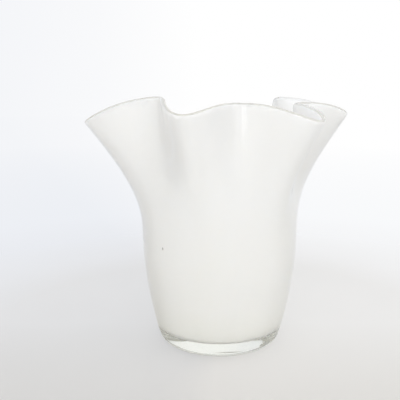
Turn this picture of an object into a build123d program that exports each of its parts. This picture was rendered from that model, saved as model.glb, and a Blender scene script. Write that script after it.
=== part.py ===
from build123d import *
import os
from math import asin, cos, pi, radians, sin, tan

# A ruffled vase of blown glass: a white opal liner cased in clear glass.
# Millimetres, +Z up, origin at the middle of the flat ground foot, -Y towards the front.
# The wall rises from a rounded heel to an upright waist. Above the waist it was bent out into
# lobes while the folds between them stayed upright. The wall is as long on the lobes as in the
# folds, so the lip is low where it leans out and high where it stands.

# Body, outer face
BODY_FOOT_RADIUS = 46.9  # wall carried down to the table, before the heel is rounded
WAIST_RADIUS = 60.8
WAIST_HEIGHT = 90.5
HEEL_HEIGHT = 4.5  # where the rounded heel runs into the wall

# Glass
CASING_WALL = 1.7
LINER_WALL = 1.3
BASE_THICKNESS = 12.0  # clear glass under the liner's floor
LINER_CORNER_HEIGHT = 3.0  # rise of the rounding between the liner's floor and its wall

# Ruffle
SLANT_LENGTH = 94.0  # wall from waist to lip, the same all round before it was sheared
RUFFLE_ANGLES = [
    # azimuth from the front, positive to the right, and lean of the lip from upright (degrees)
    (-87.5, 36.8),  # left lobe
    (-42.0, 3.3),
    (-14.0, 30.9),  # front left lobe
    (13.5, 0.2),
    (42.5, 33.6),  # front right lobe
    (66.5, 0.5),
    (100.0, 37.3),  # right lobe
    (128.0, 3.3),
    (156.0, 32.5),  # back right lobe
    (180.0, 2.5),
    (210.0, 37.3),  # back left lobe
    (244.0, 1.1),
]
# How far the lip of each lobe and fold, in the same order, was sheared up from the common length
LIP_SHEAR = [-2.0, 4.5, 1.2, 0.3, -1.6, 0.2, 3.7, 4.5, -1.0, -11.0, -7.6, 1.0]

# How finely the surfaces are set out
SWEEP_STEPS = 4  # points on a ring from a lobe to the next fold
BODY_RINGS = 6
RUFFLE_RINGS = 8
ROUNDING_RINGS = 5  # on the heel, on the liner's corner and over the lip
FULL_TURN = 360


def ring_azimuths():
    """Azimuths of the points on every ring, evenly stepped from each lobe or fold to the next."""
    starts = [azimuth for azimuth, _ in RUFFLE_ANGLES]
    ends = starts[1:] + [starts[0] + FULL_TURN]
    sweeps = zip(starts, ends)
    return [a + (b - a) * i / SWEEP_STEPS for a, b in sweeps for i in range(SWEEP_STEPS)]


def ruffle_at(azimuth):
    """Lean and shear of the lip, eased by half a cosine from each lobe to the next fold."""
    rows = [(turn, lean, shear) for (turn, lean), shear in zip(RUFFLE_ANGLES, LIP_SHEAR)]
    first_azimuth, first_lean, first_shear = rows[0]
    rows.append((first_azimuth + FULL_TURN, first_lean, first_shear))
    azimuth = first_azimuth + (azimuth - first_azimuth) % FULL_TURN
    for here, there in zip(rows, rows[1:]):
        if azimuth <= there[0]:
            ease = (1 - cos(pi * (azimuth - here[0]) / (there[0] - here[0]))) / 2
            return here[1] + (there[1] - here[1]) * ease, here[2] + (there[2] - here[2]) * ease


def wall_point(azimuth, level):
    """A point of the outer wall, at level -1 on the table, 0 at the waist and 1 at the lip."""
    if level <= 0:
        height = WAIST_HEIGHT * (1 + level)
        radius = WAIST_RADIUS - (WAIST_RADIUS - BODY_FOOT_RADIUS) * level**2
    else:
        lean, shear = ruffle_at(azimuth)
        # The wall curves like a cantilever bent by its tip, x = reach (3 s^2 - s^3) / 2, whose
        # slope at the tip is 3/2 reach / rise and whose length is rise + 3/5 reach^2 / rise.
        steepness = 2 / 3 * tan(radians(lean))
        rise = SLANT_LENGTH / (1 + 3 / 5 * steepness**2)
        reach = rise * steepness
        height = WAIST_HEIGHT + (rise + shear) * level
        radius = WAIST_RADIUS + reach * level**2 * (3 - level) / 2
    angle = radians(azimuth)
    return Vector(radius * sin(angle), -radius * cos(angle), height)


def wall_frame(azimuth, level):
    """A point of the outer wall with its outward normal and its upward direction."""
    step = 1e-4
    point = wall_point(azimuth, level)
    around = wall_point(azimuth + step, level) - wall_point(azimuth - step, level)
    upward = point - wall_point(azimuth, level - step)
    return point, around.cross(upward).normalized(), upward.normalized()


def smooth_ring(points):
    """A closed curve through one point at each of the ring azimuths."""
    azimuths = ring_azimuths()
    knots = azimuths + [azimuths[0] + FULL_TURN]
    return Wire([Edge.make_spline(points, periodic=True, parameters=knots)])


def circle_ring(radius, height):
    """A level circle, set out at the same azimuths as every other ring."""
    angles = [radians(azimuth) for azimuth in ring_azimuths()]
    return smooth_ring([(radius * sin(a), -radius * cos(a), height) for a in angles])


def wall_rings(start_level, depth):
    """Rings from a level below the waist up to the lip, at a depth of glass inside the outer face."""
    levels = [start_level * (1 - i / BODY_RINGS) for i in range(BODY_RINGS)]
    levels += [i / RUFFLE_RINGS for i in range(RUFFLE_RINGS + 1)]
    rings = []
    for level in levels:
        frames = [wall_frame(azimuth, level) for azimuth in ring_azimuths()]
        rings.append(smooth_ring([point - normal * depth for point, normal, _ in frames]))
    return rings


def corner_rings(wall_level, depth, floor):
    """Rings up the arc that joins a level floor to the wall, without the wall's own first ring."""
    point, normal, _ = wall_frame(0, wall_level)
    wall_end = point - normal * depth
    arc_radius = (wall_end.Z - floor) / (1 + normal.Z)
    centre = wall_end - normal * arc_radius
    turn = pi / 2 + asin(normal.Z)
    angles = [turn * i / ROUNDING_RINGS - pi / 2 for i in range(ROUNDING_RINGS)]
    return [circle_ring(arc_radius * cos(a) - centre.Y, centre.Z + arc_radius * sin(a)) for a in angles]


def lip_rings(thickness):
    """Rings over the half-round, fire-polished lip, between the wall's two faces."""
    frames = [wall_frame(azimuth, 1) for azimuth in ring_azimuths()]
    half = thickness / 2
    rings = []
    for i in range(1, ROUNDING_RINGS):
        angle = pi * i / ROUNDING_RINGS
        inward = half * (1 - cos(angle))
        lift = half * sin(angle)
        rings.append(smooth_ring([point - normal * inward + up * lift for point, normal, up in frames]))
    return rings


def skin(rings, ruled=False):
    """Faces of the surface through a run of rings, smooth, or with a straight band between rings."""
    return Shell.make_loft(rings, ruled).faces()


def closed_solid(faces):
    """A solid bounded by faces that meet edge to edge."""
    return Solid(Shell(faces))


heel_level = HEEL_HEIGHT / WAIST_HEIGHT - 1
liner_level = (BASE_THICKNESS + LINER_CORNER_HEIGHT) / WAIST_HEIGHT - 1
full_wall = CASING_WALL + LINER_WALL

outer_wall = wall_rings(heel_level, 0)
seat_wall = wall_rings(liner_level, CASING_WALL)
inner_wall = wall_rings(liner_level, full_wall)


def make_seat():
    """Faces along which liner and casing were blown together, shared by both solids."""
    corner = corner_rings(liner_level, CASING_WALL, BASE_THICKNESS)
    top_edge = skin([seat_wall[-1], inner_wall[-1]])
    return skin(seat_wall) + skin(corner + seat_wall[:1]) + [Face(corner[0])] + top_edge


def make_clear_casing(seat):
    """Outer glass: the ground foot, the heel, the outer wall and the lip that closes over the liner."""
    heel = corner_rings(heel_level, 0, 0)
    lip = skin(outer_wall[-1:] + lip_rings(full_wall) + inner_wall[-1:], ruled=True)
    return closed_solid(seat + [Face(heel[0])] + skin(heel + outer_wall[:1]) + skin(outer_wall) + lip)


def make_opal_liner(seat):
    """White inner glass, of one thickness over floor, corner and wall."""
    corner = corner_rings(liner_level, full_wall, BASE_THICKNESS + LINER_WALL)
    return closed_solid(seat + [Face(corner[0])] + skin(corner + inner_wall[:1]) + skin(inner_wall))


shared_seat = make_seat()
sub_parts = {"clear_casing": make_clear_casing(shared_seat), "opal_liner": make_opal_liner(shared_seat)}

os.makedirs("parts", exist_ok=True)
for name, solid in sub_parts.items():
    solid.label = name
    export_step(solid, f"parts/{name}.step")
    size = solid.bounding_box().size
    print(f"{name}: valid {solid.is_valid}, {solid.volume:.0f} mm3, {size.X:.1f} x {size.Y:.1f} x {size.Z:.1f} mm")
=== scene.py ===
from math import cos, pi, radians, sin

import bpy
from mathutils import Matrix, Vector

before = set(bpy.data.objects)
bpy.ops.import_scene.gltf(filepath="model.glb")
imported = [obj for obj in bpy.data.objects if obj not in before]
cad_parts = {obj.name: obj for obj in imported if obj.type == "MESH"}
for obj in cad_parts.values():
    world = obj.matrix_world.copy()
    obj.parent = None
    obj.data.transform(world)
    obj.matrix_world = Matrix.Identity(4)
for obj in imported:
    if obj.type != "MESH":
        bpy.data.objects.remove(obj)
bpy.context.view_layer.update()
scene = bpy.context.scene

# Lengths are in metres and angles in degrees, unless a comment says otherwise.
# A range is where a change starts and where it is complete.
# A noise is its scale, its detail and, where it is drawn out, its stretch along the axes.

ORIGIN = (0, 0, 0)
WHITE = (1, 1, 1)

# Enough bounces for light that is reflected again and again inside the clear base
GLOSSY_BOUNCES = 12

# Camera, as fitted to the photograph
LENS = 50  # millimetres
SENSOR_WIDTH = 36  # millimetres
NEAREST_SEEN = 0.01
CAMERA_PLACE = (0, -0.4306, 0.1888)
CAMERA_PITCH = 10.31  # below level
LEVEL_TURN = 90  # turns a camera, which looks straight down at first, to look level
FRAME_WIDTH = 400  # pixels
VASE_RIGHT_OF_MIDDLE = 19.5  # pixels

# Floor
FLOOR_RADIUS = 6.0
FLOOR_SIDES = 96
FLOOR_GAP = 0.0004  # air under the ground foot, which does not touch the floor all over
FLOOR_ROUGHNESS = 0.7
FLOOR_GRAIN_NOISE = (9, 5)
FLOOR_GRAIN_TONES = [(0.3, (0.775, 0.76, 0.73)), (0.7, (0.815, 0.80, 0.77))]

# How the floor is shown: lit and shaded near the vase, and as a plain backdrop farther out
FADE_START = 0.20  # from the vase's axis
FADE_END = 0.36
SHADOW_SOFTENED = 0.65  # share of the floor near the vase that is shown evenly lit
FLOOR_TONES = [
    # share of the way from FADE_START to the floor's edge, and tone
    (0.0, (0.845, 0.843, 0.845)),
    (0.01, (0.89, 0.893, 0.905)),
    (0.05, (0.94, 0.95, 0.965)),
    (0.3, WHITE),
]
# Painted shade: the floor is shown darker and warmer in front of the vase, where shade falls
FRONT_SHADE_SPAN = (-0.13, 0.02)  # along Y: the floor is shown darker in front of the vase than beside it
FRONT_SHADE_REACH = (0.18, 0.45)  # from the vase's axis: the darker floor fades away
FRONT_SHADE_TONE = (0.785, 0.767, 0.733)

# Backdrop, by how far a direction points backwards and to the right. It is painted with shade, greyer
# to the left, where less light falls on it
BACKDROP_BACKWARD = (0.35, 0.75)
BACKDROP_RIGHTWARD = (-0.4, 0)
BACKDROP_SHADE_TONES = [
    # share of the way over BACKDROP_RIGHTWARD, and tone
    (0.0, (0.9, 0.912, 0.94)),
    (0.5, (0.945, 0.95, 0.965)),
    (0.9, WHITE),
]

# Light
AMBIENT = 0.68
AMBIENT_TONE = (0.97, 0.985, 1)
LAMP_AIM = (0, 0, 0.1)  # the vase's middle
LAMPS = [
    # name, turn to the right of the front, lift above level, distance, size, and power in watts
    ("key", -1, 20, 2.2, 2.0, 24.5),
    ("fill", 80, 46, 2.2, 2.4, 14),
    ("left_fill", -75, 58, 1.6, 1.4, 1.2),
]

# Both layers of glass, with the faint swell of a blown wall, drawn out upwards
GLASS_IOR = 1.5
SWELL_NOISE = (34, 2, (1, 1, 0.3))
SWELL_STRENGTH = 0.25
SWELL_HEIGHT = 0.0006

# The white layer's skin is moved outwards by this much, and so into the clear glass that lies
# against it, to be seen as fused with it
FUSED_DEPTH = 0.00025
WELD_REACH = 0.00001  # closes the seams between its faces before they are moved

# Faces of the white layer that look away from this point are fused to the clear glass
INSIDE_POINT = (0, 0, 0.16)
FUSED_BEYOND = (0, 0.0001)  # how far such a face lies from the point along its own normal

# Colour of the white glass by height, warmer and fuller low down, where its casing is thick
OPAL_HEIGHT = (0.012, 0.19)
OPAL_TONES = [
    # share of the way over OPAL_HEIGHT, and colour
    (0.0, (0.947, 0.927, 0.842)),
    (0.16, (0.972, 0.946, 0.890)),
    (0.40, (0.958, 0.937, 0.896)),
    (0.60, (0.938, 0.924, 0.906)),
]
CLOUD_NOISE = (26, 4, (1, 1, 0.35))
CLOUD_TONES = [(0.3, (0.985, 0.984, 0.982)), (0.7, (1.015, 1.016, 1.018))]
SHEEN_NOISE = (60, 3)
SHEEN_ROUGHNESS = (0.16, 0.26)  # least and greatest
SCATTER_DEPTH = 0.006
SCATTER_SHARES = (1, 0.97, 0.93)  # of that depth, for red, green and blue

# The top edge of the white layer, where it thins out, is painted grey as painted shade for the dark
# line seen through the clear lip
EDGE_UPWARD = (0.66, 0.74)  # how far the face points upwards
EDGE_HEIGHT = (0.09, 0.10)
EDGE_SHADE_TONE = (0.60, 0.58, 0.54)

# A dark seed in the white layer, left of the front
SEED_PLACE = (-0.0405, -0.0435, 0.0828)
SEED_STRETCH = (1, 1, 0.6)
SEED_RADIUS = (0.0004, 0.0009)  # of its core, and of its soft edge
SEED_TONE = (0.5, 0.47, 0.43)

# Clear glass, greenish where it is thick
CLEAR_TONE = (0.985, 0.986, 0.98)
THICK_TONE = (0.53, 0.62, 0.31)
THICK_DENSITY = 1.5
SMEAR_NOISE = (80, 3)
SMEAR_ROUGHNESS = (0.03, 0.08)  # least and greatest

# The wall that was reheated and drawn into the ruffle has a softer gloss than the body
SOFT_HEIGHT = (0.08, 0.125)
SOFT_ROUGHNESS = 0.12

# The ring that the vase stands on was ground level
GROUND_RING = (0.0385, 0.0395)  # from the vase's axis
GROUND_HEIGHT = (0.00005, 0.0003)
GROUND_ROUGHNESS = 0.4


def new_material(name):
    """A node material with nothing in it but its output."""
    material = bpy.data.materials.new(name)
    material.use_nodes = True
    nodes = material.node_tree.nodes
    nodes.clear()
    output = nodes.new("ShaderNodeOutputMaterial")
    return material, nodes, material.node_tree.links, output


def noise(nodes, links, scale, detail, stretch=(1, 1, 1)):
    """Noise fixed to the object, stretched along its axes."""
    coordinates = nodes.new("ShaderNodeTexCoord")
    mapping = nodes.new("ShaderNodeMapping")
    mapping.inputs["Scale"].default_value = stretch
    texture = nodes.new("ShaderNodeTexNoise")
    texture.inputs["Scale"].default_value = scale
    texture.inputs["Detail"].default_value = detail
    links.new(coordinates.outputs["Object"], mapping.inputs["Vector"])
    links.new(mapping.outputs["Vector"], texture.inputs["Vector"])
    return texture.outputs["Fac"]


def colour_ramp(nodes, links, factor, stops):
    """A colour that follows a factor through stops of position and colour."""
    ramp = nodes.new("ShaderNodeValToRGB")
    elements = ramp.color_ramp.elements
    while len(elements) < len(stops):
        elements.new(0.5)  # its own position is set below
    for element, (position, colour) in zip(elements, stops):
        element.position = position
        element.color = (*colour, 1)
    links.new(factor, ramp.inputs["Fac"])
    return ramp.outputs["Color"]


def value_range(nodes, links, factor, lowest, highest, start=0, end=1):
    """A factor from start to end spread over another range, and held beyond it."""
    spread = nodes.new("ShaderNodeMapRange")
    spread.inputs["From Min"].default_value = start
    spread.inputs["From Max"].default_value = end
    spread.inputs["To Min"].default_value = lowest
    spread.inputs["To Max"].default_value = highest
    links.new(factor, spread.inputs["Value"])
    return spread.outputs["Result"]


def maths(nodes, links, operation, first, second):
    """Two values joined by an operation."""
    node = nodes.new("ShaderNodeMath")
    node.operation = operation
    links.new(first, node.inputs[0])
    links.new(second, node.inputs[1])
    return node.outputs["Value"]


def vector_maths(nodes, links, operation, *vectors):
    """Outputs of an operation on vectors, each of which is a socket or a constant."""
    node = nodes.new("ShaderNodeVectorMath")
    node.operation = operation
    for socket, vector in zip(node.inputs, vectors):
        if isinstance(vector, tuple):
            socket.default_value = vector
        else:
            links.new(vector, socket)
    return node.outputs


def length(nodes, links, vector):
    """Length of a vector."""
    return vector_maths(nodes, links, "LENGTH", vector)["Value"]


def multiply_colours(nodes, links, first, second):
    """Two colours multiplied."""
    return vector_maths(nodes, links, "MULTIPLY", first, second)["Vector"]


def component(nodes, links, vector, axis):
    """One coordinate of a vector."""
    axes = nodes.new("ShaderNodeSeparateXYZ")
    links.new(vector, axes.inputs["Vector"])
    return axes.outputs[axis]


def place_from(nodes, links, start, stretch=(1, 1, 1)):
    """Position on the object measured from a start, with its axes stretched."""
    position = nodes.new("ShaderNodeTexCoord").outputs["Object"]
    shifted = vector_maths(nodes, links, "SUBTRACT", position, start)["Vector"]
    return vector_maths(nodes, links, "MULTIPLY", shifted, stretch)["Vector"]


def axis_of(nodes, links, axis):
    """One coordinate of the position on the object."""
    return component(nodes, links, place_from(nodes, links, ORIGIN), axis)


def mixed_colour(nodes, links, share, colour, other):
    """A colour that gives way to a constant one by a share."""
    node = nodes.new("ShaderNodeMix")
    node.data_type = "RGBA"
    # The node has sockets of the same names for every type, so those for colours go by number
    links.new(share, node.inputs["Factor"])
    links.new(colour, node.inputs[6])
    node.inputs[7].default_value = (*other, 1)
    return node.outputs[2]


def mixed_shader(nodes, links, share, first, second):
    """A shader that gives way to a second one by a share."""
    mix = nodes.new("ShaderNodeMixShader")
    links.new(share, mix.inputs["Fac"])
    links.new(first, mix.inputs[1])
    links.new(second, mix.inputs[2])
    return mix.outputs["Shader"]


def blown_swell(nodes, links):
    """Normals of a wall that swells faintly, as hand-blown glass does."""
    relief = nodes.new("ShaderNodeBump")
    relief.inputs["Strength"].default_value = SWELL_STRENGTH
    relief.inputs["Distance"].default_value = SWELL_HEIGHT
    links.new(noise(nodes, links, *SWELL_NOISE), relief.inputs["Height"])
    return relief.outputs["Normal"]


def fused_share(nodes, links):
    """1 on the outer face of the white layer, which has clear glass against it, 0 on its inner face."""
    normal = nodes.new("ShaderNodeNewGeometry").outputs["Normal"]
    place = place_from(nodes, links, INSIDE_POINT)
    beyond = vector_maths(nodes, links, "DOT_PRODUCT", normal, place)["Value"]
    return value_range(nodes, links, beyond, 0, 1, *FUSED_BEYOND)


def painted_edge_shade(nodes, links):
    """1 on the narrow top edge of the white layer, where grey is painted as shade, 0 on its walls and
    floor.
    """
    normal = nodes.new("ShaderNodeNewGeometry").outputs["True Normal"]
    upward = value_range(nodes, links, component(nodes, links, normal, "Z"), 0, 1, *EDGE_UPWARD)
    high = value_range(nodes, links, axis_of(nodes, links, "Z"), 0, 1, *EDGE_HEIGHT)
    return maths(nodes, links, "MULTIPLY", upward, high)


def seed_share(nodes, links):
    """1 in the seed that was left in the white glass, 0 elsewhere."""
    away = length(nodes, links, place_from(nodes, links, SEED_PLACE, SEED_STRETCH))
    return value_range(nodes, links, away, 1, 0, *SEED_RADIUS)


def ground_roughness(nodes, links):
    """Roughness of the ring that the vase stands on, which was ground level, and 0 elsewhere."""
    outward = length(nodes, links, place_from(nodes, links, ORIGIN, (1, 1, 0)))
    ring = value_range(nodes, links, outward, 0, GROUND_ROUGHNESS, *GROUND_RING)
    low = value_range(nodes, links, axis_of(nodes, links, "Z"), 1, 0, *GROUND_HEIGHT)
    return maths(nodes, links, "MULTIPLY", ring, low)


def make_opal_glass():
    """White glass, faintly clouded in streaks drawn up the wall, glossy where it meets the air."""
    material, nodes, links, output = new_material("opal_glass")
    shader = nodes.new("ShaderNodeBsdfPrincipled")
    height = value_range(nodes, links, axis_of(nodes, links, "Z"), 0, 1, *OPAL_HEIGHT)
    tone = colour_ramp(nodes, links, height, OPAL_TONES)
    cloud = colour_ramp(nodes, links, noise(nodes, links, *CLOUD_NOISE), CLOUD_TONES)
    colour = multiply_colours(nodes, links, tone, cloud)
    # Painted shade: the top edge is painted grey for the dark line seen through the clear lip
    edge_shaded = mixed_colour(nodes, links, painted_edge_shade(nodes, links), colour, EDGE_SHADE_TONE)
    seeded = mixed_colour(nodes, links, seed_share(nodes, links), edge_shaded, SEED_TONE)
    links.new(seeded, shader.inputs["Base Color"])
    sheen = value_range(nodes, links, noise(nodes, links, *SHEEN_NOISE), *SHEEN_ROUGHNESS)
    roughness = maths(nodes, links, "MAXIMUM", sheen, fused_share(nodes, links))
    links.new(roughness, shader.inputs["Roughness"])
    links.new(blown_swell(nodes, links), shader.inputs["Normal"])
    shader.inputs["IOR"].default_value = GLASS_IOR
    shader.inputs["Subsurface Weight"].default_value = 1
    shader.inputs["Subsurface Radius"].default_value = SCATTER_SHARES
    shader.inputs["Subsurface Scale"].default_value = SCATTER_DEPTH
    links.new(shader.outputs["BSDF"], output.inputs["Surface"])
    return material


def make_clear_glass():
    """Clear hand-blown glass, greenish where it is thick. Lamps shine straight through it."""
    material, nodes, links, output = new_material("clear_glass")
    glass = nodes.new("ShaderNodeBsdfPrincipled")
    glass.inputs["Base Color"].default_value = (*CLEAR_TONE, 1)
    glass.inputs["Transmission Weight"].default_value = 1
    glass.inputs["IOR"].default_value = GLASS_IOR
    smear = value_range(nodes, links, noise(nodes, links, *SMEAR_NOISE), *SMEAR_ROUGHNESS)
    soft = value_range(nodes, links, axis_of(nodes, links, "Z"), 0, SOFT_ROUGHNESS, *SOFT_HEIGHT)
    worn = maths(nodes, links, "MAXIMUM", soft, ground_roughness(nodes, links))
    links.new(maths(nodes, links, "MAXIMUM", smear, worn), glass.inputs["Roughness"])
    links.new(blown_swell(nodes, links), glass.inputs["Normal"])
    let_through = nodes.new("ShaderNodeBsdfTransparent").outputs["BSDF"]
    to_lamp = nodes.new("ShaderNodeLightPath").outputs["Is Shadow Ray"]
    surface = mixed_shader(nodes, links, to_lamp, glass.outputs["BSDF"], let_through)
    links.new(surface, output.inputs["Surface"])
    body = nodes.new("ShaderNodeVolumeAbsorption")
    body.inputs["Color"].default_value = (*THICK_TONE, 1)
    body.inputs["Density"].default_value = THICK_DENSITY
    links.new(body.outputs["Volume"], output.inputs["Volume"])
    return material


def backdrop_share(nodes, links, towards):
    """0 to 1 for a direction that heads for the backdrop behind the vase.

    The sides of the studio stay dimmer, which draws the edges of the glass.
    """
    backward = component(nodes, links, towards, "Y")
    return value_range(nodes, links, backward, 0, 1, *BACKDROP_BACKWARD)


def shaded_backdrop_tone(nodes, links, towards):
    """Tone of the backdrop in a direction: white, and greyer to the left as painted shade."""
    rightward = component(nodes, links, towards, "X")
    share = value_range(nodes, links, rightward, 0, 1, *BACKDROP_RIGHTWARD)
    return colour_ramp(nodes, links, share, BACKDROP_SHADE_TONES)


def shown_background(nodes, links, behind):
    """1 for rays that show the background.

    These are all rays from the camera, and those mirrored or seen through glass that head for the
    backdrop.
    """
    light_path = nodes.new("ShaderNodeLightPath")
    glossy = maths(nodes, links, "MULTIPLY", light_path.outputs["Is Glossy Ray"], behind)
    through = maths(nodes, links, "MULTIPLY", light_path.outputs["Is Transmission Ray"], behind)
    seen = maths(nodes, links, "MAXIMUM", glossy, through)
    return maths(nodes, links, "MAXIMUM", seen, light_path.outputs["Is Camera Ray"])


def backdrop_floor_tone(nodes, links, distance, direction):
    """Tone of the floor where it is shown as backdrop, by its distance and direction from the vase,
    with painted shade in front of the vase and to its left.
    """
    outward = value_range(nodes, links, distance, 0, 1, FADE_START, FLOOR_RADIUS)
    far = colour_ramp(nodes, links, outward, FLOOR_TONES)
    # Painted shade, greyer to the left of the vase, as on the backdrop
    beside = shaded_backdrop_tone(nodes, links, direction)
    # Painted shade in front of the vase
    forward = value_range(nodes, links, axis_of(nodes, links, "Y"), 1, 0, *FRONT_SHADE_SPAN)
    near = value_range(nodes, links, distance, 1, 0, *FRONT_SHADE_REACH)
    front_shade_share = maths(nodes, links, "MULTIPLY", forward, near)
    front = colour_ramp(nodes, links, front_shade_share, [(0, WHITE), (1, FRONT_SHADE_TONE)])
    return multiply_colours(nodes, links, multiply_colours(nodes, links, far, beside), front)


def make_floor_material():
    """Pale floor that takes the shadow near the vase and is shown as backdrop farther out, with painted
    shade in front of the vase and to its left.
    """
    material, nodes, links, output = new_material("pale_floor")
    matt = nodes.new("ShaderNodeBsdfPrincipled")
    matt.inputs["Roughness"].default_value = FLOOR_ROUGHNESS
    grain = colour_ramp(nodes, links, noise(nodes, links, *FLOOR_GRAIN_NOISE), FLOOR_GRAIN_TONES)
    links.new(grain, matt.inputs["Base Color"])
    place = place_from(nodes, links, ORIGIN)
    distance = length(nodes, links, place)
    direction = vector_maths(nodes, links, "NORMALIZE", place)["Vector"]
    plain = nodes.new("ShaderNodeEmission")
    links.new(backdrop_floor_tone(nodes, links, distance, direction), plain.inputs["Color"])
    fade = value_range(nodes, links, distance, SHADOW_SOFTENED, 1, FADE_START, FADE_END)
    shown = shown_background(nodes, links, backdrop_share(nodes, links, direction))
    share = maths(nodes, links, "MULTIPLY", fade, shown)
    surface = mixed_shader(nodes, links, share, matt.outputs["BSDF"], plain.outputs["Emission"])
    links.new(surface, output.inputs["Surface"])
    return material


def make_floor():
    """A round floor, a hair below the ground foot."""
    turns = [2 * pi * i / FLOOR_SIDES for i in range(FLOOR_SIDES)]
    points = [(FLOOR_RADIUS * sin(a), FLOOR_RADIUS * cos(a), -FLOOR_GAP) for a in turns]
    mesh = bpy.data.meshes.new("floor")
    mesh.from_pydata(points, [], [tuple(range(FLOOR_SIDES))])
    mesh.materials.append(make_floor_material())
    floor = bpy.data.objects.new("floor", mesh)
    scene.collection.objects.link(floor)


def make_lamp(name, turn, lift, distance, size, power):
    """A square soft light, turned to the right of the front and lifted, aimed at the vase's middle."""
    data = bpy.data.lights.new(name, "AREA")
    data.size = size
    data.energy = power
    lamp = bpy.data.objects.new(name, data)
    turn = radians(turn)
    lift = radians(lift)
    towards = Vector((sin(turn) * cos(lift), -cos(turn) * cos(lift), sin(lift)))
    lamp.location = Vector(LAMP_AIM) + towards * distance
    lamp.rotation_euler = towards.to_track_quat("Z", "Y").to_euler()
    scene.collection.objects.link(lamp)


def make_world():
    """Even soft light from all round, and the bright backdrop behind the vase."""
    world = bpy.data.worlds.new("studio")
    world.use_nodes = True
    nodes = world.node_tree.nodes
    links = world.node_tree.links
    nodes.clear()
    output = nodes.new("ShaderNodeOutputWorld")
    ambient = nodes.new("ShaderNodeBackground")
    ambient.inputs["Color"].default_value = (*AMBIENT_TONE, 1)
    ambient.inputs["Strength"].default_value = AMBIENT
    direction = nodes.new("ShaderNodeTexCoord").outputs["Generated"]
    backdrop = nodes.new("ShaderNodeBackground")
    links.new(shaded_backdrop_tone(nodes, links, direction), backdrop.inputs["Color"])
    behind = backdrop_share(nodes, links, direction)
    shown = maths(nodes, links, "MAXIMUM", behind, shown_background(nodes, links, behind))
    ambient_light = ambient.outputs["Background"]
    surface = mixed_shader(nodes, links, shown, ambient_light, backdrop.outputs["Background"])
    links.new(surface, output.inputs["Surface"])
    scene.world = world


def make_camera():
    """The camera at the photograph's place, level across and pitched down."""
    data = bpy.data.cameras.new("camera")
    data.lens = LENS
    data.sensor_width = SENSOR_WIDTH
    data.clip_start = NEAREST_SEEN
    data.shift_x = -VASE_RIGHT_OF_MIDDLE / FRAME_WIDTH
    camera = bpy.data.objects.new("camera", data)
    camera.location = CAMERA_PLACE
    camera.rotation_euler = (radians(LEVEL_TURN - CAMERA_PITCH), 0, 0)
    scene.collection.objects.link(camera)
    scene.camera = camera


def dress(node, material):
    """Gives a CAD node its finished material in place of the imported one."""
    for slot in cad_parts[node].material_slots:
        slot.material = material


def fuse(node):
    """Closes the seams of a CAD node's skin, then moves it outwards into the glass around it."""
    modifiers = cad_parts[node].modifiers
    weld = modifiers.new("closed_skin", "WELD")
    weld.merge_threshold = WELD_REACH
    overlap = modifiers.new("fused_to_casing", "DISPLACE")
    overlap.strength = FUSED_DEPTH
    overlap.mid_level = 0


scene.view_settings.view_transform = "Standard"
scene.cycles.glossy_bounces = GLOSSY_BOUNCES

dress("clear_casing", make_clear_glass())
dress("opal_liner", make_opal_glass())
fuse("opal_liner")

make_floor()
make_world()
for lamp_values in LAMPS:
    make_lamp(*lamp_values)
make_camera()
